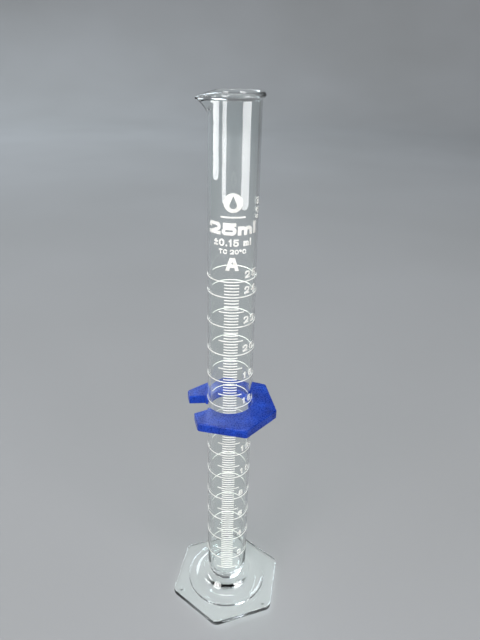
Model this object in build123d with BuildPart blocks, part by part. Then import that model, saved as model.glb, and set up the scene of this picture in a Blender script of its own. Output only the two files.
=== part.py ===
from build123d import *
import os
from math import acos, cos, degrees, pi, radians, sin

# A 25 ml graduated measuring cylinder: a glass tube with a pouring lip, fused to a pressed
# hexagonal glass foot, with a fired white scale and a loose hexagonal guard clipped round it.
# Units are millimetres. The origin is on the bench, under the middle of the tube. +Z is up,
# the scale faces -Y and the lip points to -X. An azimuth is counted anticlockwise from +X.

# ---------------------------------------------------------------- driving dimensions
# tube
bore_radius = 7.5
wall = 1.0
tube_radius = bore_radius + wall
bottom_wall = 1.4
bore_corner = 3.0  # rounding inside the closed end
tube_corner = 3.8  # rounding outside the closed end
overall_height = 212.0
bead_radius = 0.95  # fire-polished bead round the mouth
bead_proud = 0.05
bead_line = tube_radius + bead_proud  # its centre line, just proud of the wall
bead_height = overall_height - bead_radius

# pouring lip
lip_reach = 12.2  # outermost point of the lip
lip_bead = 0.85  # the bead is a little thinner along the lip
lip_line = lip_reach - lip_bead
lip_tip = 1.6  # rounding of the lip's tip, in plan
lip_depth = 5.6  # the lip starts this far below the bead
lip_start_reach = 0.05  # and stands out this little there

# foot
foot_radius = 25.3  # hexagon, centre to corner
foot_turn = 19.5  # azimuth of one corner
foot_corner = 3.5
foot_underside = 0.45
foot_top = 3.0
foot_edge = 0.7
foot_lower_edge = 0.4
dome_radius = 16.5
dome_height = 4.1  # where the dome starts
dome_roll = 0.6
dome_sag = 1.75  # how hollow the dome's slope is
seat_radius = 9.5
seat_height = 8.8  # flat top of the dome, which carries the seal
seat_roll = 0.6
nub_radius = 1.4
nub_reach = 21.5
nub_count = 3

# seal between foot and tube
seal_radius = 8.3  # where it spreads on to the seat
seal_waist = (7.25, 9.75)
seal_turn = 48  # it grips the tube's rounded end up to this angle from straight down

# scale
capacity = 25
zero_height = 11.5  # height that the even scale counts from
ml_height = 1000 / (pi * bore_radius**2)
front = -90  # azimuth of the middle of the scale
line_height = 0.35
enamel = 0.12  # the print stands this far above the glass
bite = 0.02  # and is fused this far into it
fifths_per_ml = 5
fifth_sweep = 34
ml_sweep = 60
ring_start = 174  # the rings run anticlockwise from here ...
ring_sweep = 343  # ... and leave a gap on the left, just behind the middle
lowest_line = 1
lowest_ring = 2

# lettering
turn_room = 0.96  # share of a straight run that the rounded corners at its ends may use up
# height, figure width and stroke of each size
numeral_size = (2.6, 2.05, 0.56)
numeral_rise = 2.4  # from a ring to the middle of its numeral
numeral_start = 37.5  # from the front to the middle of the first figure
numeral_step = 20.9
capacity_size = (4.05, 4.8, 1.12)
capacity_gap = 0.5  # between two figures
capacity_height = 171.3
tolerance_size = (2.4, 1.85, 0.52)
tolerance_gap = 0.42
tolerance_height = 166.75
temperature_size = (1.6, 1.35, 0.36)
temperature_gap = 0.2
temperature_height = 163.7
class_height = 159.4  # middle of the class letter
class_rise = 4.55  # and its size
class_foot = 4.55
class_top = 1.75
class_leg = 1.3
class_bar = 1.1  # underside of its bar, above the feet
class_eye = (0.85, 2.1, 3.2)  # width, bottom and top of its eye
division_size = (1.7, 1.35, 0.34)
division_gap = 0.28
division_height = 177.3
division_azimuth = -24
emblem_radius = 3.1
emblem_height = 179.85
drop_radius = 1.2
drop_length = 3.9
drop_tip = 0.12
rule_length = 8.2
rule_height = 175.2
rule_width = 0.5

# guard
guard_top = 99.9
guard_thickness = 3.6
guard_radius = 18.5  # hexagon, centre to corner
guard_turn = 40.8  # azimuth of one corner
guard_centre = (0.55, -0.3)
guard_flex = 0.8  # where it flexes, as a share of the way from the tube's axis to its closed side
back_spring = 1.0  # degrees that each arm stands open
front_spring = 6.6
guard_clearance = 0.3
guard_corner = 1.3
guard_edge = 0.4
slot_back = (-8.85, 2.7)  # the nib on each side of the slot, and the way that side runs out
slot_back_azimuth = 184.5
slot_front = (-7.6, -5.8)
slot_front_azimuth = 208.5
slot_inner = -3.5  # the cut starts inside the bore
slot_outer = 13  # and ends outside the guard
nib_radius = 0.8

os.makedirs("parts", exist_ok=True)


def finish(builder, name):
    """Label a finished sub-part and write its STEP file."""
    builder.part.label = name
    export_step(builder.part, f"parts/{name}.step")


def level(ml):
    """Height of a volume on the scale."""
    return zero_height + ml * ml_height


def polar(radius, azimuth):
    """A point in plan."""
    return (radius * cos(radians(azimuth)), radius * sin(radians(azimuth)))


def radial_plane(azimuth):
    """A plane through the tube's axis: its x runs outwards and its y runs up."""
    out_x, out_y = polar(1, azimuth)
    return Plane(origin=(0, 0, 0), x_dir=(out_x, out_y, 0), z_dir=(out_y, -out_x, 0))


def tangent_plane(azimuth, height):
    """A plane inside the wall, facing outwards: its x runs anticlockwise and its y runs up."""
    out_x, out_y = polar(1, azimuth)
    place = (bore_radius * out_x, bore_radius * out_y, height)
    return Plane(origin=place, x_dir=(-out_y, out_x, 0), z_dir=(out_x, out_y, 0))


# ---------------------------------------------------------------- tube
# A rounded closed end holds less than a square one, so the floor sits a little lower.
corner_area = bore_corner**2 * (1 - pi / 4)
corner_centroid = bore_radius - bore_corner * (10 - 3 * pi) / (12 - 3 * pi)
corner_loss = 2 * pi * corner_centroid * corner_area
bore_floor = zero_height - corner_loss / (pi * bore_radius**2)
tube_bottom = bore_floor - bottom_wall
lip_start = bead_height - lip_depth


def lip_outline(radius, reach, tip):
    """A circle with its lip side drawn out to a rounded tip."""
    with BuildSketch() as outline:
        Circle(radius)
        with Locations((tip - reach, 0)):
            Circle(tip)
        make_hull()
    return outline.sketch


with BuildPart() as tube:
    # wall, closed end and the bead round the mouth
    with BuildSketch(Plane.XZ):
        with BuildLine():
            Polyline((0, bore_floor), (0, tube_bottom), (tube_radius - tube_corner, tube_bottom))
            RadiusArc(
                (tube_radius - tube_corner, tube_bottom),
                (tube_radius, tube_bottom + tube_corner),
                -tube_corner,
            )
            Polyline(
                (tube_radius, tube_bottom + tube_corner),
                (tube_radius, bead_height),
                (bore_radius, bead_height),
                (bore_radius, bore_floor + bore_corner),
            )
            RadiusArc(
                (bore_radius, bore_floor + bore_corner),
                (bore_radius - bore_corner, bore_floor),
                bore_corner,
            )
            Line((bore_radius - bore_corner, bore_floor), (0, bore_floor))
        make_face()
        with Locations((bead_line, bead_height)):
            Circle(bead_radius)
    revolve(axis=Axis.Z)
    # outside of the lip
    with BuildSketch(Plane.XY.offset(lip_start)):
        add(lip_outline(tube_radius, tube_radius + lip_start_reach, lip_tip))
    with BuildSketch(Plane.XY.offset(bead_height)):
        add(lip_outline(tube_radius, lip_line, lip_tip))
    loft()
    # bead along the edge of the lip
    lip_spread = degrees(acos((bead_line - lip_tip) / (lip_line - lip_tip)))
    root_x, root_y = polar(bead_line, 180 - lip_spread)
    tip_x, tip_y = polar(lip_tip, 180 - lip_spread)
    tip_x -= lip_line - lip_tip
    with BuildLine(Plane.XY.offset(bead_height)) as lip_edge:
        Line((root_x, root_y), (tip_x, tip_y))
        ThreePointArc((tip_x, tip_y), (-lip_line, 0), (tip_x, -tip_y))
        Line((tip_x, -tip_y), (root_x, -root_y))
    with BuildSketch(Plane(origin=lip_edge.line @ 0, z_dir=lip_edge.line % 0)):
        Circle(lip_bead)
    sweep()
    # inside of the lip and its open mouth
    with BuildSketch(Plane.XY.offset(lip_start)):
        add(lip_outline(bore_radius, bore_radius + lip_start_reach, lip_tip - wall))
    with BuildSketch(Plane.XY.offset(bead_height)) as mouth:
        add(lip_outline(bore_radius, lip_line - wall, lip_tip - wall))
    loft(mode=Mode.SUBTRACT)
    extrude(mouth.sketch, amount=2 * bead_radius, mode=Mode.SUBTRACT)
finish(tube, "tube")

# ---------------------------------------------------------------- foot
with BuildPart() as foot:
    with BuildSketch(Plane.XY.offset(foot_underside)) as plate:
        RegularPolygon(foot_radius, 6, rotation=foot_turn)
        fillet(plate.vertices(), foot_corner)
    extrude(amount=foot_top - foot_underside)
    fillet(foot.edges().group_by(Axis.Z)[-1], foot_edge)
    fillet(foot.edges().group_by(Axis.Z)[0], foot_lower_edge)
    # dome: a hollow slope from the seat down to a rounded step on the plate
    step_bottom = foot_top - foot_edge
    step_radius = dome_radius + dome_roll
    with BuildSketch(Plane.XZ):
        with BuildLine():
            Polyline(
                (seat_radius - seat_roll, seat_height),
                (0, seat_height),
                (0, step_bottom),
                (step_radius, step_bottom),
                (step_radius, dome_height - dome_roll),
            )
            RadiusArc((step_radius, dome_height - dome_roll), (dome_radius, dome_height), -dome_roll)
            SagittaArc((dome_radius, dome_height), (seat_radius, seat_height - seat_roll), dome_sag)
            RadiusArc(
                (seat_radius, seat_height - seat_roll),
                (seat_radius - seat_roll, seat_height),
                -seat_roll,
            )
        make_face()
    revolve(axis=Axis.Z)
    # standing nubs under every second corner
    with PolarLocations(nub_reach, nub_count, start_angle=foot_turn + 360 / 6):
        with Locations((0, 0, nub_radius)):
            Sphere(nub_radius)
finish(foot, "foot")

# ---------------------------------------------------------------- seal
# Glass melted between the seat and the rounded end of the tube, as a short waist.
end_radius = tube_radius - tube_corner  # the flat of the tube's closed end
grip_out, grip_up = polar(tube_corner, seal_turn - 90)
grip = (end_radius + grip_out, tube_bottom + tube_corner + grip_up)
with BuildPart() as seal:
    with BuildSketch(Plane.XZ):
        with BuildLine():
            Polyline(
                (end_radius, tube_bottom),
                (0, tube_bottom),
                (0, seat_height),
                (seal_radius, seat_height),
            )
            ThreePointArc((seal_radius, seat_height), seal_waist, grip)
            RadiusArc(grip, (end_radius, tube_bottom), tube_corner)
        make_face()
    revolve(axis=Axis.Z)
finish(seal, "foot_seal")

# ---------------------------------------------------------------- scale lines
def scale_lines(levels, start, sweep):
    """Enamel lines round the tube at the given volumes."""
    with BuildPart() as lines:
        with BuildSketch(radial_plane(start)):
            with Locations([(tube_radius - bite, level(ml)) for ml in levels]):
                Rectangle(bite + enamel, line_height, align=(Align.MIN, Align.CENTER))
        revolve(axis=Axis.Z, revolution_arc=sweep)
    return lines


rings = [*range(lowest_ring, capacity, 2), capacity]
odd_levels = [ml for ml in range(lowest_line, capacity) if ml not in rings]
fifth_steps = range(lowest_line * fifths_per_ml, capacity * fifths_per_ml)
fifth_levels = [step / fifths_per_ml for step in fifth_steps if step % fifths_per_ml]

for ml in rings:
    finish(scale_lines([ml], ring_start, ring_sweep), f"ring_line_{ml:02d}")
finish(scale_lines(odd_levels, front - ml_sweep / 2, ml_sweep), "odd_ml_lines")
finish(scale_lines(fifth_levels, front - fifth_sweep / 2, fifth_sweep), "fifth_ml_lines")


# ---------------------------------------------------------------- lettering
# Each figure is drawn with strokes in a box that runs from 0 to 1 both ways. A stroke is a list
# of points x, y and roundness, and one that ends where it starts is a closed loop. The number
# before the strokes is how wide the figure is, where the width of a broad digit is 1.
figures = {
    "0": (1.0, [[(0.5, 0, 0), (1, 0, 1), (1, 1, 1), (0, 1, 1), (0, 0, 1), (0.5, 0, 0)]]),
    "1": (0.6, [[(0.8, 0, 0), (0.8, 1, 0)], [(0.1, 0.78, 0), (0.8, 0.9, 0)]]),
    "2": (
        1.0,
        [
            [(0, 0.76, 0), (0, 1, 1), (1, 1, 1), (1, 0.5, 0.85), (0.08, 0, 0)],
            [(0, 0, 0), (1, 0, 0)],
        ],
    ),
    "4": (1.0, [[(0.66, 0.96, 0), (0.02, 0.3, 0)], [(0, 0.3, 0), (1, 0.3, 0)], [(0.7, 0, 0), (0.7, 1, 0)]]),
    "5": (
        1.0,
        [
            [(0.96, 1, 0), (0.1, 1, 0), (0.1, 0.56, 0)],
            [(0.14, 0.6, 0), (1, 0.6, 1), (1, 0, 1), (0, 0, 1), (0, 0.22, 0)],
        ],
    ),
    "6": (
        1.0,
        [
            [(0.96, 0.84, 0), (0.96, 1, 1), (0, 1, 1), (0, 0.28, 0)],
            [(0.5, 0, 0), (1, 0, 1), (1, 0.58, 1), (0, 0.58, 1), (0, 0, 1), (0.5, 0, 0)],
        ],
    ),
    "8": (
        1.0,
        [
            [(0.5, 0.53, 0), (0.94, 0.53, 1), (0.94, 1, 1), (0.06, 1, 1), (0.06, 0.53, 1), (0.5, 0.53, 0)],
            [(0.5, 0.53, 0), (1, 0.53, 1), (1, 0, 1), (0, 0, 1), (0, 0.53, 1), (0.5, 0.53, 0)],
        ],
    ),
    "C": (1.0, [[(1, 0.76, 0), (1, 1, 1), (0, 1, 1), (0, 0, 1), (1, 0, 1), (1, 0.24, 0)]]),
    "T": (1.0, [[(0, 1, 0), (1, 1, 0)], [(0.5, 0, 0), (0.5, 1, 0)]]),
    "m": (
        1.1,
        [
            [(0, 0, 0), (0, 0.64, 0)],
            [(0, 0.3, 0), (0, 0.62, 1), (0.5, 0.62, 1), (0.5, 0, 0)],
            [(0.5, 0.3, 0), (0.5, 0.62, 1), (1, 0.62, 1), (1, 0, 0)],
        ],
    ),
    "l": (0.3, [[(0.5, 0, 0), (0.5, 1, 0)]]),
    "\u00b1": (0.9, [[(0, 0, 0), (1, 0, 0)], [(0, 0.6, 0), (1, 0.6, 0)], [(0.5, 0.35, 0), (0.5, 0.85, 0)]]),
    ".": (0.3, [[(0.5, 0, 0), (0.5, 0.02, 0)]]),
    "\u00b0": (
        0.62,
        [[(0.5, 0.62, 0), (1, 0.62, 1), (1, 1, 1), (0, 1, 1), (0, 0.62, 1), (0.5, 0.62, 0)]],
    ),
    " ": (0.4, []),
}


def stroke_path(points, roundness, weight):
    """Centre line of one stroke: open ends run on by half the stroke's weight."""
    points = [Vector(*point) for point in points]
    closed = points[0] == points[-1]
    runs = [(after - before).length for before, after in zip(points, points[1:])]
    # two corners share a run between them, and the first and last runs have only one corner
    corners_on = [1 if n in (0, len(runs) - 1) else 2 for n in range(len(runs))]
    room = [run * turn_room / count for run, count in zip(runs, corners_on)]
    radii = [share * min(pair) for share, pair in zip(roundness[1:-1], zip(room, room[1:]))]
    with BuildLine() as path:
        if closed:
            FilletPolyline(*points[:-1], radius=[0, *radii], close=True)
        else:
            points[0] -= (points[1] - points[0]).normalized() * weight / 2
            points[-1] += (points[-1] - points[-2]).normalized() * weight / 2
            if radii:
                FilletPolyline(*points, radius=radii)
            else:
                Line(*points)
    return path.line


def figure(character, height, width, weight):
    """One flat figure, centred, with its strokes inside the box."""
    share, strokes = figures[character]
    across = width * share - weight
    up = height - weight
    with BuildSketch() as shape:
        for stroke in strokes:
            points = [((x - 0.5) * across, (y - 0.5) * up) for x, y, turn in stroke]
            path = stroke_path(points, [turn for x, y, turn in stroke], weight)
            trace(path, line_width=weight)
    return shape.sketch


# The thin coat on the tube that all lettering is cut from.
with BuildPart() as coat:
    with BuildSketch():
        Circle(tube_radius + enamel)
        Circle(tube_radius - bite, mode=Mode.SUBTRACT)
    extrude(amount=overall_height)


def fired(plane, shape):
    """A flat shape on a plane inside the wall, as enamel on the outside of the tube."""
    with BuildPart() as enamelled:
        with BuildSketch(plane):
            add(shape)
        extrude(amount=2 * wall)
        add(coat.part, mode=Mode.INTERSECT)
    return enamelled.part


def numeral(ml):
    """The number of one ring, in figures that follow the tube round."""
    with BuildPart() as lettering:
        for place, character in enumerate(str(ml)):
            azimuth = front + numeral_start + place * numeral_step
            plane = tangent_plane(azimuth, level(ml) + numeral_rise)
            add(fired(plane, figure(character, *numeral_size)))
    return lettering


def places_in_row(text, width, gap):
    """Each figure of a row with the distance of its middle from the middle of the row."""
    widths = [figures[character][0] * width for character in text]
    position = -(sum(widths) + gap * (len(text) - 1)) / 2
    places = []
    for character, own_width in zip(text, widths):
        if character != " ":
            places.append((character, position + own_width / 2))
        position += own_width + gap
    return places


def row_of_text(text, size, gap, height):
    """A row of figures centred on the front of the tube."""
    with BuildPart() as lettering:
        for character, place in places_in_row(text, size[1], gap):
            plane = tangent_plane(front + degrees(place / tube_radius), height)
            add(fired(plane, figure(character, *size)))
    return lettering


def side_text(text, size, gap, azimuth, height):
    """A row of figures that reads upwards beside the front of the scale."""
    with BuildPart() as lettering:
        for character, place in places_in_row(text, size[1], gap):
            shape = Location((0, place), 90) * figure(character, *size)
            add(fired(tangent_plane(azimuth, height), shape))
    return lettering


for ml in rings:
    finish(numeral(ml), f"numeral_{ml:02d}")
finish(row_of_text("25ml", capacity_size, capacity_gap, capacity_height), "capacity_text")
finish(row_of_text("\u00b10.15 ml", tolerance_size, tolerance_gap, tolerance_height), "tolerance_text")
finish(
    row_of_text("TC 20\u00b0C", temperature_size, temperature_gap, temperature_height),
    "temperature_text",
)
finish(
    side_text("0.2 ml", division_size, division_gap, division_azimuth, division_height),
    "division_text",
)

# the class letter: a broad A with a flat top, level feet and a small eye
eye_width, eye_bottom, eye_top = class_eye
leg_inner = class_foot / 2 - class_leg
bar_inner = leg_inner * (class_rise - class_bar) / class_rise
with BuildPart() as class_letter:
    with BuildSketch(tangent_plane(front, class_height - class_rise / 2)):
        Polygon(
            (-class_foot / 2, 0),
            (-class_top / 2, class_rise),
            (class_top / 2, class_rise),
            (class_foot / 2, 0),
            (leg_inner, 0),
            (bar_inner, class_bar),
            (-bar_inner, class_bar),
            (-leg_inner, 0),
            align=None,
        )
        Polygon(
            (-eye_width / 2, eye_bottom),
            (0, eye_top),
            (eye_width / 2, eye_bottom),
            align=None,
            mode=Mode.SUBTRACT,
        )
    extrude(amount=2 * wall)
    add(coat.part, mode=Mode.INTERSECT)
finish(class_letter, "class_letter")

# a plain disc with a drop in it
with BuildPart() as emblem:
    with BuildSketch(tangent_plane(front, emblem_height)):
        Circle(emblem_radius)
        with BuildSketch(mode=Mode.SUBTRACT):
            with Locations((0, drop_radius - drop_length / 2)):
                Circle(drop_radius)
            with Locations((0, drop_length / 2)):
                Circle(drop_tip)
            make_hull()
    extrude(amount=2 * wall)
    add(coat.part, mode=Mode.INTERSECT)
finish(emblem, "drop_emblem")

# a plain rule between the emblem and the capacity
rule_turn = degrees(rule_length / tube_radius)
with BuildPart() as rule:
    with BuildSketch(radial_plane(front - rule_turn / 2)):
        with Locations((tube_radius - bite, rule_height)):
            Rectangle(bite + enamel, rule_width, align=(Align.MIN, Align.CENTER))
    revolve(axis=Axis.Z, revolution_arc=rule_turn)
finish(rule, "label_rule")

# ---------------------------------------------------------------- guard
middle = Vector(*guard_centre)
corners = [middle + Vector(guard_radius, 0).rotate(Axis.Z, guard_turn + 60 * n) for n in range(6)]
# The guard flexes beside its last and first corners, and each arm swings out by its own angle.
hinge = (corners[0] + corners[-1]) / 2 * guard_flex


def swing(corner, angle):
    """A corner turned about the place where the guard flexes."""
    return (corner - hinge).rotate(Axis.Z, angle) + hinge


def slot_side(start, azimuth):
    """Both ends of one side of the slot."""
    return [Vector(*start) + Vector(*polar(reach, azimuth)) for reach in (slot_inner, slot_outer)]


back_arm = [swing(corner, -back_spring) for corner in corners[1:3]]
front_arm = [swing(corner, front_spring) for corner in corners[3:5]]
slot = slot_side(slot_back, slot_back_azimuth) + slot_side(slot_front, slot_front_azimuth)[::-1]
guard_bore = tube_radius + guard_clearance

with BuildPart() as guard:
    with BuildSketch(Plane.XY.offset(guard_top - guard_thickness)) as outline:
        Polygon(corners[0], *back_arm, *front_arm, corners[-1], align=None)
        fillet(outline.vertices(), guard_corner)
        Polygon(*slot, align=None, mode=Mode.SUBTRACT)
        with Locations(slot_back, slot_front):
            Circle(nib_radius)
        Circle(guard_bore, mode=Mode.SUBTRACT)
    extrude(amount=guard_thickness)
    top_edges = guard.edges().group_by(Axis.Z)[-1]
    bottom_edges = guard.edges().group_by(Axis.Z)[0]
    fillet(top_edges + bottom_edges, guard_edge)
finish(guard, "guard")
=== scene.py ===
"""A 25 ml graduated measuring cylinder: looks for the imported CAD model.

Everything is in metres, in the model's own frame: the origin is on the bench under the middle
of the tube, +Z is up, the scale faces -Y and the lip points to -X. MM turns millimetres into metres.
"""

import math

import bpy
import numpy as np
from mathutils import Matrix, Vector


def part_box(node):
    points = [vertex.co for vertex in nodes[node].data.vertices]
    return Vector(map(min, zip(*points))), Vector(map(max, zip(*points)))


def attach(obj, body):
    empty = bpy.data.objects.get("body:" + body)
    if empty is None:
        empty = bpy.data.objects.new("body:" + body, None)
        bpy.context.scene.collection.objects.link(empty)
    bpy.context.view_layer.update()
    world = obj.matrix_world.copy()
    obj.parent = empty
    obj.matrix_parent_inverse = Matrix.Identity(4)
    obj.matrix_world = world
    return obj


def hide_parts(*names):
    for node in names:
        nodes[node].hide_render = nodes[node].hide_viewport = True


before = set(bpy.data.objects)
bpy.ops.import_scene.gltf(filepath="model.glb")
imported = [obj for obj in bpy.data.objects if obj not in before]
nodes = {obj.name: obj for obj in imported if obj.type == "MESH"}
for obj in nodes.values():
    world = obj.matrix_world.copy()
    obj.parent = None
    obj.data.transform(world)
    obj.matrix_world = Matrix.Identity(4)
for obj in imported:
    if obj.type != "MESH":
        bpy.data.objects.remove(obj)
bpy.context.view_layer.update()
scene = bpy.context.scene
MM = 0.001

# ---------------------------------------------------------------- what the glass is made to fit
tube_low, tube_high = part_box("tube")
foot_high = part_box("foot")[1]
ring_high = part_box("ring_line_25")[1]

ENAMEL = 0.12 * MM  # how far the print stands off the tube
TUBE_RADIUS = ring_high.x - ENAMEL
WALL = 1.0 * MM
MIDDLE = TUBE_RADIUS - WALL / 2  # middle of the tube's wall
BEAD = 0.95 * MM  # radius of the bead round the mouth
BEAD_HEIGHT = tube_high.z - BEAD
BEAD_OUT = 0.55 * MM  # from the middle of the wall to the bead's centre line
BEAD_BLEND = 0.5 * MM  # radius of the hollow between the wall and the bead
BLEND_SHORT = math.pi / 18  # the hollow stops this far short of where it meets the bead
BEAD_END = math.radians(165)  # where the bead's arc ends, counted from straight outwards
BEAD_INSIDE = ((0.4, 0.1), (0.66, 0.45), (0.89, 0.8), (1.0, 1.15))  # share of the way in, mm down
OWN_OUTLINE = 0.5  # inside the mouth, rings further down than this have their own height's outline
BORE_CORNER = 3.0 * MM  # rounding between the bore and its floor
END_WALL = 1.4 * MM  # glass under the bore's floor
BORE_FLOOR = tube_low.z + END_WALL
FLOOR_RINGS = (3.0, 1.5)  # radius of the last rings on the bore's floor, in mm
END_CORNER = 3.8 * MM  # rounding outside the tube's closed end
END_MARGIN = 0.8 * MM  # the straight wall's rings start this far above the rounded end
LIP_MARGIN = 0.6 * MM  # and stop this far below the lip

LIP_DEPTH = 5.6 * MM  # the lip starts this far below the bead
LIP_TIP = 1.1 * MM  # rounding of the lip's tip in plan, on the middle of the wall
LIP_BEAD = 0.52 * MM  # the bead thins to this at the tip, and its centre line comes in to this
LIP_BEAD_OUT = 0.05 * MM
LIP_REACH = -tube_low.x - LIP_BEAD - LIP_BEAD_OUT  # of the middle of the wall, at the tip
LIP_SWELL = 1.15  # above 1, the lip starts softly out of the wall
LIP_DIP = 1.3 * MM  # the pouring edge hangs this much lower at its tip
LIP_DIP_START = 3.5 * MM  # and starts to fall this far from the tube's axis
LIP_SPREAD = math.radians(62)  # the bead thins within this turn of the tip

FOOT_CORNER_AZIMUTH = math.radians(19.5)
FOOT_ROUND = 3.5 * MM  # rounding of the hexagon's corners
FOOT_SHARP = 25.29 * MM  # from the axis to a corner, if the corners were sharp
FOOT_APOTHEM = FOOT_SHARP * math.cos(math.pi / 6)
FOOT_UNDER = 0.45 * MM  # the underside's height, on the nubs
FOOT_SIDE = (1.1, 2.1)  # lowest and highest ring of the plate's upright side, in mm
FOOT_TOP = 3.0 * MM
LOWER_EDGE = 0.4 * MM
UPPER_EDGE = 0.7 * MM
PLATE_DISH = 0.12 * MM  # how far the plate sags between its edge and the dome
UNDERSIDE_FLAT = (1.5, 16.5)  # first and last ring of the underside's plain middle, in mm
UNDERSIDE_INNER = 17.6 * MM  # where the part with the nubs starts
NUBS = 3
NUB_REACH = 21.5 * MM
NUB_SPREAD = 1.3 * MM

DOME_RADIUS = 16.5 * MM
DOME_HEIGHT = 4.1 * MM
DOME_ROLL = 0.6 * MM  # rounding of the dome's rim
DOME_FILLET = 0.35 * MM  # between the plate and the dome's side
DOME_SAG = 1.75 * MM  # how hollow the dome's slope is
SEAT_RADIUS = 9.5 * MM
SEAT_HEIGHT = foot_high.z
SEAT_EDGE = SEAT_HEIGHT - 0.6 * MM  # where the hollow slope would meet the seat
SLOPE_POINTS = 30
SLOPE_KEPT = 24  # points of the slope up to where the melted shoulder takes over
WAIST = (  # radius and height of the melted shoulder and waist, in mm
    (9.68, 7.28),
    (9.02, 7.98),
    (8.25, 8.5),
    (7.62, 8.98),
    (7.32, 9.6),
    (7.38, 10.3),
)

AROUND = 360  # points in each ring
azimuths = np.radians(np.arange(AROUND) * 360 / AROUND)


# ---------------------------------------------------------------- glass body
def smooth(share):
    """A share from 0 to 1, eased in and out."""
    share = np.clip(share, 0, 1)
    return share * share * (3 - 2 * share)


from_lip = np.abs(azimuths - math.pi)  # how far each azimuth is turned from the lip's tip
lip_share = smooth(1 - from_lip / LIP_SPREAD)  # 1 at the tip, falling to 0 at LIP_SPREAD


def drawn_out(radius, reach, tip):
    """Radius at each azimuth of a circle whose -X side is drawn out to a rounded tip."""
    centre = reach - tip
    contact = np.arccos(np.minimum(1, (radius - tip) / centre))
    tip_turn = np.arctan2(tip * np.sin(contact), centre + tip * np.cos(contact))
    line = radius / np.cos(np.clip(contact - from_lip, 0, None))
    inside = np.clip(tip**2 - (centre * np.sin(from_lip)) ** 2, 0, None)
    nose = centre * np.cos(from_lip) + np.sqrt(inside)
    return np.where(from_lip > contact, radius, np.where(from_lip > tip_turn, line, nose))


def hexagon(inset):
    """Radius at each azimuth of the foot's rounded hexagon, moved inwards by inset."""
    apothem = FOOT_APOTHEM - inset
    corner = FOOT_ROUND - inset
    sixth = math.pi / 3
    turn = (azimuths - FOOT_CORNER_AZIMUTH + sixth / 2) % sixth - sixth / 2
    centre = (apothem - corner) / math.cos(sixth / 2)
    flat = apothem / np.cos(sixth / 2 - np.abs(turn))
    inside = np.clip(corner**2 - (centre * np.sin(turn)) ** 2, 0, None)
    rounded = centre * np.cos(turn) + np.sqrt(inside)
    last = math.atan2(corner * math.sin(sixth / 2), centre + corner * math.cos(sixth / 2))
    return np.where(np.abs(turn) < last, rounded, flat)


def ring(radius, height):
    """A closed ring of points from a radius and a height, each one number or one per azimuth."""
    radius = np.broadcast_to(radius, AROUND)
    height = np.broadcast_to(height, AROUND)
    return np.stack([radius * np.cos(azimuths), radius * np.sin(azimuths), height], 1)


def wall_ring(height, across, flare_at=None):
    """A ring of the wall, at a height and a distance outwards from the middle of the wall.

    Each is one number or one per azimuth. flare_at is the height whose outline it follows,
    where that isn't its own."""
    follow = height if flare_at is None else flare_at
    share = np.clip((follow - (BEAD_HEIGHT - LIP_DEPTH)) / LIP_DEPTH, 0, 1)
    reach = MIDDLE + (LIP_REACH - MIDDLE) * share**LIP_SWELL
    line = ring(drawn_out(MIDDLE, reach, LIP_TIP), 0)
    along = np.roll(line, -1, 0) - np.roll(line, 1, 0)
    outward = np.stack([along[:, 1], -along[:, 0], 0 * along[:, 0]], 1)
    outward /= np.linalg.norm(outward, axis=1)[:, None]
    points = line + outward * np.broadcast_to(across, AROUND)[:, None]
    fall = np.clip((-line[:, 0] - LIP_DIP_START) / (LIP_REACH - LIP_DIP_START), 0, 1)
    points[:, 2] = height - LIP_DIP * fall**2 * smooth(share)
    return points


def arc(centre, radius, first, last, count):
    """Points across and up, on an arc between two angles in degrees."""
    turns = np.radians(np.linspace(first, last, count))
    return [(centre[0] + radius * math.cos(a), centre[1] + radius * math.sin(a)) for a in turns]


def sagitta_arc(start, end, sag, count):
    """Points on an arc that leaves the chord by sag, on its left as it runs."""
    start, end = Vector(start), Vector(end)
    chord = end - start
    half = chord.length / 2
    radius = (half**2 + sag**2) / (2 * sag)
    side = Vector((-chord.y, chord.x)).normalized()
    centre = (start + end) / 2 + side * (sag - radius)
    spread = math.asin(half / radius)
    middle = math.atan2(side.y, side.x)
    turns = np.linspace(middle + spread, middle - spread, count)
    return [(centre.x + radius * math.cos(a), centre.y + radius * math.sin(a)) for a in turns]


def curve_through(points, steps):
    """A smooth curve through points, as a Catmull-Rom chain with steps points to a span."""
    points = [Vector(p) for p in points]
    points = [2 * points[0] - points[1], *points, 2 * points[-1] - points[-2]]
    line = []
    for a, b, c, d in zip(points, points[1:], points[2:], points[3:]):
        squared = 2 * a - 5 * b + 4 * c - d
        cubed = 3 * b - a - 3 * c + d
        for t in np.arange(steps) / steps:
            line.append(0.5 * (2 * b + (c - a) * t + squared * t**2 + cubed * t**3))
    line.append(points[-2])
    return [tuple(p) for p in line]


def foot_underside():
    """Rings from the middle of the underside out to the lower edge, with three standing nubs.

    The nubs are towards every second corner."""
    rings = [ring(radius * MM, FOOT_UNDER) for radius in np.linspace(*UNDERSIDE_FLAT, 8)]
    for share in np.linspace(0, 1, 28):
        radius = (1 - share) * UNDERSIDE_INNER + share * hexagon(LOWER_EDGE)
        points = ring(radius, FOOT_UNDER)
        for nub in range(NUBS):
            azimuth = FOOT_CORNER_AZIMUTH + math.radians(60 + 120 * nub)
            place = np.array([NUB_REACH * math.cos(azimuth), NUB_REACH * math.sin(azimuth)])
            away = np.linalg.norm(points[:, :2] - place, axis=1) / NUB_SPREAD
            points[:, 2] -= FOOT_UNDER * np.cos(np.clip(away, 0, 1) * math.pi / 2) ** 2
        rings.append(points)
    return rings


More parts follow.
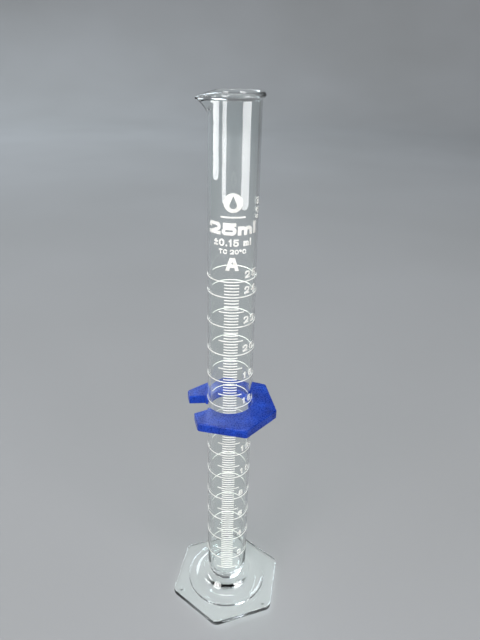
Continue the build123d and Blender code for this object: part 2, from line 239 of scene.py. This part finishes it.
def foot_top():
    """Rings up the side of the foot, over its plate and up the hollow dome to the tube."""
    rings = []
    for turn in np.radians(np.linspace(15, 90, 6)):
        inset = LOWER_EDGE - LOWER_EDGE * math.sin(turn)
        rings.append(ring(hexagon(inset), FOOT_UNDER + LOWER_EDGE - LOWER_EDGE * math.cos(turn)))
    for height in np.linspace(*FOOT_SIDE, 4) * MM:
        rings.append(ring(hexagon(0.0), height))
    for turn in np.radians(np.linspace(0, 90, 10)):
        inset = UPPER_EDGE - UPPER_EDGE * math.cos(turn)
        rings.append(ring(hexagon(inset), FOOT_TOP - UPPER_EDGE + UPPER_EDGE * math.sin(turn)))
    fillet_middle = DOME_RADIUS + DOME_ROLL + DOME_FILLET
    for share in np.linspace(0.1, 1, 10):
        radius = (1 - share) * hexagon(UPPER_EDGE) + share * fillet_middle
        dish = PLATE_DISH * math.sin(math.pi * share)
        rings.append(ring(radius, FOOT_TOP - dish))
    fillet = arc((fillet_middle, FOOT_TOP + DOME_FILLET), DOME_FILLET, 255, 195, 5)
    roll = arc((DOME_RADIUS, DOME_HEIGHT - DOME_ROLL), DOME_ROLL, 20, 90, 8)
    # over the shoulder, which melting has rounded, and up the waist to the tube's rounded end
    slope = sagitta_arc((DOME_RADIUS, DOME_HEIGHT), (SEAT_RADIUS, SEAT_EDGE), DOME_SAG, SLOPE_POINTS)
    slope = slope[:SLOPE_KEPT]
    centre = (TUBE_RADIUS - END_CORNER, tube_low.z + END_CORNER)
    rounded_end = arc(centre, END_CORNER, -38, 0, 9)
    waist = [(r * MM, z * MM) for r, z in WAIST]
    melted = curve_through([slope[-1], *waist, rounded_end[0]], 4)
    profile = [*fillet, *roll, *slope[1:], *melted[1:], *rounded_end[1:]]
    return rings + [ring(r, z) for r, z in profile]


def tube_and_bore():
    """Rings up the wall, over the bead and the lip, and down the bore to its rounded floor."""
    half = WALL / 2
    lip_start = BEAD_HEIGHT - LIP_DEPTH
    bead = BEAD + (LIP_BEAD - BEAD) * lip_share
    bead_out = BEAD_OUT + (LIP_BEAD_OUT - BEAD_OUT) * lip_share
    blend_out = half + BEAD_BLEND
    drop = np.sqrt((bead + BEAD_BLEND) ** 2 - (blend_out - bead_out) ** 2)
    wall_top = BEAD_HEIGHT - drop
    meet = np.arctan2(-drop, blend_out - bead_out)
    straight = np.linspace(tube_low.z + END_CORNER + END_MARGIN, lip_start - LIP_MARGIN, 14)
    lip = np.linspace(lip_start, wall_top, 22)
    rings = [wall_ring(z, half) for z in [*straight, *lip]]
    # the hollow under the bead, and then the bead itself
    for share in np.linspace(0.2, 0.9, 4):
        turn = math.pi + share * (meet + BLEND_SHORT)
        up = wall_top + BEAD_BLEND * np.sin(turn)
        rings.append(wall_ring(up, blend_out + BEAD_BLEND * np.cos(turn), BEAD_HEIGHT))
    for share in np.linspace(0, 1, 26):
        turn = meet + share * (BEAD_END - meet)
        up = BEAD_HEIGHT + bead * np.sin(turn)
        rings.append(wall_ring(up, bead_out + bead * np.cos(turn), BEAD_HEIGHT))
    bead_inner = bead_out + bead * math.cos(BEAD_END)
    for share, down in BEAD_INSIDE:
        height = BEAD_HEIGHT - down * MM
        across = bead_inner - share * (half + bead_inner)
        rings.append(wall_ring(height, across, height if down > OWN_OUTLINE else BEAD_HEIGHT))
    # down the inside of the lip and of the wall, and round the corner to the bore's floor
    rings += [wall_ring(z, -half) for z in lip[::-1][1:]]
    bore = np.linspace(lip_start - LIP_MARGIN, BORE_FLOOR + BORE_CORNER, 14)
    rings += [wall_ring(z, -half) for z in bore]
    centre = (MIDDLE - half - BORE_CORNER, BORE_FLOOR + BORE_CORNER)
    rings += [ring(r, z) for r, z in arc(centre, BORE_CORNER, -8, -90, 12)]
    rings += [ring(r * MM, BORE_FLOOR) for r in FLOOR_RINGS]
    return rings


def lathe(name, rings, floor_height, top_height):
    """A closed mesh from a chain of rings, with a point on the axis at each end."""
    count = len(rings)
    points = np.concatenate([*rings, [[0, 0, floor_height], [0, 0, top_height]]])
    first, last = count * AROUND, count * AROUND + 1
    faces = []
    for i in range(AROUND):
        j = (i + 1) % AROUND
        faces.append((first, j, i))
        for k in range(count - 1):
            low, high = k * AROUND, (k + 1) * AROUND
            faces.append((low + i, low + j, high + j, high + i))
        top = (count - 1) * AROUND
        faces.append((top + i, top + j, last))
    mesh = bpy.data.meshes.new(name)
    mesh.from_pydata([tuple(p) for p in points], [], faces)
    mesh.update()
    mesh.shade_smooth()
    obj = bpy.data.objects.new(name, mesh)
    scene.collection.objects.link(obj)
    return obj


glass = lathe(
    "glass_body",
    [*foot_underside(), *foot_top(), *tube_and_bore()],
    FOOT_UNDER,
    BORE_FLOOR,
)


# ---------------------------------------------------------------- materials
GLASS_GREENISH = (0.955, 0.985, 0.97)
GLASS_CLEAR = (0.985, 0.995, 0.99)
SHADOW_FACING = (0.93, 0.95, 0.94)  # light let through where the surface faces it
SHADOW_EDGE = (0.3, 0.32, 0.31)  # and where it only grazes the surface
GLASS_REFRACTION = 1.48
ENAMEL_THIN = (0.66, 0.65, 0.61)
ENAMEL_USUAL = (0.76, 0.75, 0.71)
ENAMEL_THICK = (0.82, 0.81, 0.78)
BLUE_DEEP = (0.001, 0.018, 0.17)
BLUE_USUAL = (0.002, 0.031, 0.30)
BLUE_BRIGHT = (0.008, 0.070, 0.50)
SURFACE_REFRACTION = 1.5  # of enamel and plastic
PAPER_DARKER = (0.34, 0.34, 0.34)
PAPER_LIGHTER = (0.37, 0.37, 0.375)


class Nodes:
    """A material's node tree, built one node at a time."""

    def __init__(self, name):
        self.material = bpy.data.materials.new(name)
        self.material.use_nodes = True
        self.tree = self.material.node_tree
        self.tree.nodes.clear()
        self.out = self.add("ShaderNodeOutputMaterial")
        self.place = self.add("ShaderNodeTexCoord").outputs["Object"]

    def add(self, kind, inputs=None, **settings):
        """A new node. An input is a number, a colour or another node's output."""
        node = self.tree.nodes.new(kind)
        for key, value in settings.items():
            setattr(node, key, value)
        for key, value in (inputs or {}).items():
            if isinstance(value, bpy.types.NodeSocket):
                self.tree.links.new(value, node.inputs[key])
            else:
                node.inputs[key].default_value = value
        return node

    def noise(self, scale, stretch=(1, 1, 1), detail=3.0, distortion=0.0):
        """Noise in the object's own space, drawn out along an axis whose stretch is below 1."""
        mapping = self.add("ShaderNodeMapping", {"Vector": self.place, "Scale": stretch})
        node = self.add(
            "ShaderNodeTexNoise",
            {
                "Vector": mapping.outputs[0],
                "Scale": scale,
                "Detail": detail,
                "Distortion": distortion,
            },
        )
        return node.outputs["Fac"]

    def range(self, value, low, high, start=0.0, end=1.0):
        """The value's span from start to end, turned into low to high."""
        node = self.add(
            "ShaderNodeMapRange",
            {"Value": value, "From Min": start, "From Max": end, "To Min": low, "To Max": high},
        )
        return node.outputs["Result"]

    def ramp(self, value, *stops):
        """A colour for the value, from stops of a position and a colour."""
        node = self.add("ShaderNodeValToRGB", {"Fac": value})
        elements = node.color_ramp.elements
        while len(elements) < len(stops):
            elements.new(1.0)
        for element, (position, colour) in zip(elements, stops):
            element.position = position
            element.color = (*colour, 1.0)
        return node.outputs["Color"]

    def bump(self, height, strength, distance, normal=None):
        """A normal that is roughened by height, on top of another normal if there is one."""
        inputs = {"Height": height, "Strength": strength, "Distance": distance}
        if normal is not None:
            inputs["Normal"] = normal
        return self.add("ShaderNodeBump", inputs).outputs["Normal"]

    def surface(self, shader):
        """The finished material."""
        self.tree.links.new(shader, self.out.inputs["Surface"])
        return self.material


def clear_glass(name, ripple_scale, ripple_stretch, ripple_depth):
    """Clear glass with a slight ripple, faintly smeared as handled glass is.

    For shadows it is a tinted clear sheet, so that the lamps' light gets through it."""
    n = Nodes(name)
    ripple = n.noise(ripple_scale, stretch=ripple_stretch, detail=2.0)
    smear = n.noise(60, stretch=(1, 1, 0.35), detail=4.0, distortion=0.6)
    body = n.add(
        "ShaderNodeBsdfPrincipled",
        {
            "Base Color": n.ramp(smear, (0.3, GLASS_GREENISH), (0.7, GLASS_CLEAR)),
            "Roughness": n.range(smear, 0.0, 0.035, start=0.5, end=0.8),
            "Normal": n.bump(ripple, 1.0, ripple_depth),
            "IOR": GLASS_REFRACTION,
            "Transmission Weight": 1.0,
        },
    )
    shade = n.add("ShaderNodeLayerWeight", {"Blend": 0.35}).outputs["Facing"]
    through = n.add(
        "ShaderNodeBsdfTransparent",
        {"Color": n.ramp(shade, (0.35, SHADOW_FACING), (0.95, SHADOW_EDGE))},
    )
    rays = n.add("ShaderNodeLightPath")
    mixed = n.add(
        "ShaderNodeMixShader",
        {0: rays.outputs["Is Shadow Ray"], 1: body.outputs[0], 2: through.outputs[0]},
    )
    return n.surface(mixed.outputs[0])


def white_enamel():
    """Fired white enamel: thin, slightly warm, uneven in cover and a little granular."""
    n = Nodes("fired_white_enamel")
    patches = n.noise(900, detail=3.0)
    grain = n.noise(6000, detail=2.0)
    body = n.add(
        "ShaderNodeBsdfPrincipled",
        {
            "Base Color": n.ramp(
                patches, (0.3, ENAMEL_THIN), (0.5, ENAMEL_USUAL), (0.75, ENAMEL_THICK)
            ),
            "Roughness": n.range(patches, 0.3, 0.5),
            "Normal": n.bump(grain, 0.35, 0.03 * MM),
            "IOR": SURFACE_REFRACTION,
        },
    )
    return n.surface(body.outputs[0])


def blue_plastic():
    """Royal-blue plastic with a fine, slightly glossy grain."""
    n = Nodes("grained_blue_plastic")
    clouds = n.noise(170, detail=3.0, distortion=0.3)
    mottle = n.noise(1900, detail=2.0)
    grain = n.noise(4200, detail=2.0)
    shade = n.add("ShaderNodeMath", {0: clouds, 1: mottle}, operation="ADD").outputs[0]
    colour = n.ramp(
        n.range(shade, 0, 1, start=0.64, end=1.36),
        (0.05, BLUE_DEEP),
        (0.5, BLUE_USUAL),
        (0.95, BLUE_BRIGHT),
    )
    waves = n.bump(mottle, 0.55, 0.08 * MM)
    bumped = n.bump(grain, 0.4, 0.03 * MM, waves)
    body = n.add(
        "ShaderNodeBsdfPrincipled",
        {
            "Base Color": colour,
            "Roughness": n.range(mottle, 0.22, 0.42, start=0.35, end=0.65),
            "Normal": bumped,
            "IOR": SURFACE_REFRACTION,
            "Specular IOR Level": 0.34,
        },
    )
    return n.surface(body.outputs[0])


def studio_paper():
    """Pale grey paper without any gloss, slightly cloudy."""
    n = Nodes("studio_paper")
    fibre = n.noise(700, detail=6.0)
    cloud = n.noise(3, detail=2.0)
    body = n.add(
        "ShaderNodeBsdfPrincipled",
        {
            "Base Color": n.ramp(cloud, (0.3, PAPER_DARKER), (0.7, PAPER_LIGHTER)),
            "Roughness": n.range(fibre, 0.75, 0.9),
            "Normal": n.bump(fibre, 0.15, 0.1 * MM),
            "Specular IOR Level": 0.0,
        },
    )
    return n.surface(body.outputs[0])


def dress(obj, *materials):
    """Puts materials in the object's slots, in place of any it has."""
    obj.data.materials.clear()
    for material in materials:
        obj.data.materials.append(material)


foot_glass = clear_glass("pressed_foot_glass", 220, (1, 1, 0.5), 0.03 * MM)
tube_glass = clear_glass("drawn_tube_glass", 260, (1, 1, 0.03), 0.008 * MM)
dress(glass, foot_glass, tube_glass)
# the tube's glass starts above the foot's seat
for face in glass.data.polygons:
    face.material_index = int(face.center.z > SEAT_HEIGHT)

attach(glass, "cylinder")
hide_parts("tube", "foot", "foot_seal")

enamel = white_enamel()
blue = blue_plastic()
for name, node in nodes.items():
    if name == "guard":
        dress(node, blue)
    elif name not in ("tube", "foot", "foot_seal"):
        dress(node, enamel)


# ---------------------------------------------------------------- studio
FLOOR_RADIUS = 1.5
FLOOR_BEND = 0.8  # radius of the bend between the floor and the wall
BACKDROP_TOP = 2.6
BACKDROP_SEGMENTS = 96
STRIP_DISTANCE = 0.46
STRIP_TOP = 0.18
KEY_DISTANCE = 1.3
KEY_HEIGHT = 0.5
AIM = (0, 0, 0.1)  # the lamps face the middle of the tube
BACK_TINT = (0.82, 0.92, 1.0)
SKY = (0.9, 0.95, 1.0, 1.0)
SKY_STRENGTH = 0.5


def backdrop():
    """A round floor that curves up into a wall all the way round, as one sheet of studio paper."""
    bend = arc((FLOOR_RADIUS, FLOOR_BEND), FLOOR_BEND, -90, 0, 20)
    profile = [(0.3, 0.0), (0.8, 0.0), *bend, (FLOOR_RADIUS + FLOOR_BEND, BACKDROP_TOP)]
    turns = np.linspace(0, 2 * math.pi, BACKDROP_SEGMENTS, endpoint=False)
    points = [(0, 0, 0)]
    points += [(r * math.cos(t), r * math.sin(t), z) for r, z in profile for t in turns]
    faces = []
    for i in range(BACKDROP_SEGMENTS):
        j = (i + 1) % BACKDROP_SEGMENTS
        faces.append((0, 1 + i, 1 + j))
        for k in range(len(profile) - 1):
            low, high = 1 + k * BACKDROP_SEGMENTS, 1 + (k + 1) * BACKDROP_SEGMENTS
            faces.append((low + i, high + i, high + j, low + j))
    mesh = bpy.data.meshes.new("backdrop")
    mesh.from_pydata(points, [], faces)
    mesh.shade_smooth()
    obj = bpy.data.objects.new("backdrop", mesh)
    scene.collection.objects.link(obj)
    dress(obj, studio_paper())


def softbox(name, place, target, width, height, radiance, tint=(1, 1, 1)):
    """A rectangular soft light at place that faces target, and that the camera doesn't see."""
    lamp = bpy.data.lights.new(name, "AREA")
    lamp.shape = "RECTANGLE"
    lamp.size, lamp.size_y = width, height
    lamp.energy = radiance * math.pi * width * height
    lamp.color = tint
    obj = bpy.data.objects.new(name, lamp)
    scene.collection.objects.link(obj)
    obj.location = place
    obj.rotation_euler = (Vector(target) - Vector(place)).to_track_quat("-Z", "Y").to_euler()
    obj.visible_camera = False
    return obj


def round_the_tube(azimuth, distance, height):
    """A place by its azimuth from the front, counted towards +X."""
    turn = math.radians(azimuth)
    return (distance * math.sin(turn), -distance * math.cos(turn), height)


backdrop()
# a strip shows as a streak on the tube, but lights nothing and doesn't shine through the glass
for name, azimuth, spread, bottom, radiance in (
    ("strip_left", -84, 32, 0.085, 13),
    ("strip_front", -42, 18, 0.06, 13),
    ("strip_right", 52, 38, 0.052, 12),
):
    width = 2 * STRIP_DISTANCE * math.tan(math.radians(spread / 2))
    middle = (bottom + STRIP_TOP) / 2
    place = round_the_tube(azimuth, STRIP_DISTANCE, middle)
    strip = softbox(name, place, (0, 0, middle), width, STRIP_TOP - bottom, radiance)
    strip.visible_diffuse = False
    strip.visible_transmission = False
for name, azimuth, size, radiance in (("key_left", -38, 0.7, 11.5), ("key_right", 45, 0.6, 10)):
    place = round_the_tube(azimuth, KEY_DISTANCE, KEY_HEIGHT)
    key = softbox(name, place, AIM, size, size, radiance)
    key.visible_transmission = False
softbox("back_left", (-0.72, 1.6, 1.24), AIM, 1.0, 0.64, 10.0, BACK_TINT)
softbox("overhead", (0, -0.15, 0.95), AIM, 0.4, 0.16, 7.0)

world = bpy.data.worlds.new("studio")
world.use_nodes = True
background = world.node_tree.nodes["Background"]
background.inputs["Color"].default_value = SKY
background.inputs["Strength"].default_value = SKY_STRENGTH
scene.world = world
scene.view_settings.view_transform = "Standard"


# ---------------------------------------------------------------- camera
PITCH, YAW, ROLL = math.radians(26.4), math.radians(1.0), math.radians(1.49)
CAMERA_PLACE = (0, -0.1839, 0.2261)
LENS, SENSOR_WIDTH = 31.88, 36.0  # in mm, as Blender counts them
forward = Vector(
    (math.sin(YAW) * math.cos(PITCH), math.cos(YAW) * math.cos(PITCH), -math.sin(PITCH))
)
right = Vector((math.cos(YAW), -math.sin(YAW), 0))
upward = right.cross(forward)
# roll turns the camera about the way that it looks
rolled_right = right * math.cos(ROLL) + upward * math.sin(ROLL)
rolled_up = upward * math.cos(ROLL) - right * math.sin(ROLL)
camera = bpy.data.cameras.new("camera")
camera.lens = LENS
camera.sensor_width = SENSOR_WIDTH
camera.clip_start = 0.01
camera_object = bpy.data.objects.new("camera", camera)
scene.collection.objects.link(camera_object)
axes = Matrix((rolled_right, rolled_up, -forward)).transposed().to_4x4()
camera_object.matrix_world = Matrix.Translation(CAMERA_PLACE) @ axes
scene.camera = camera_object
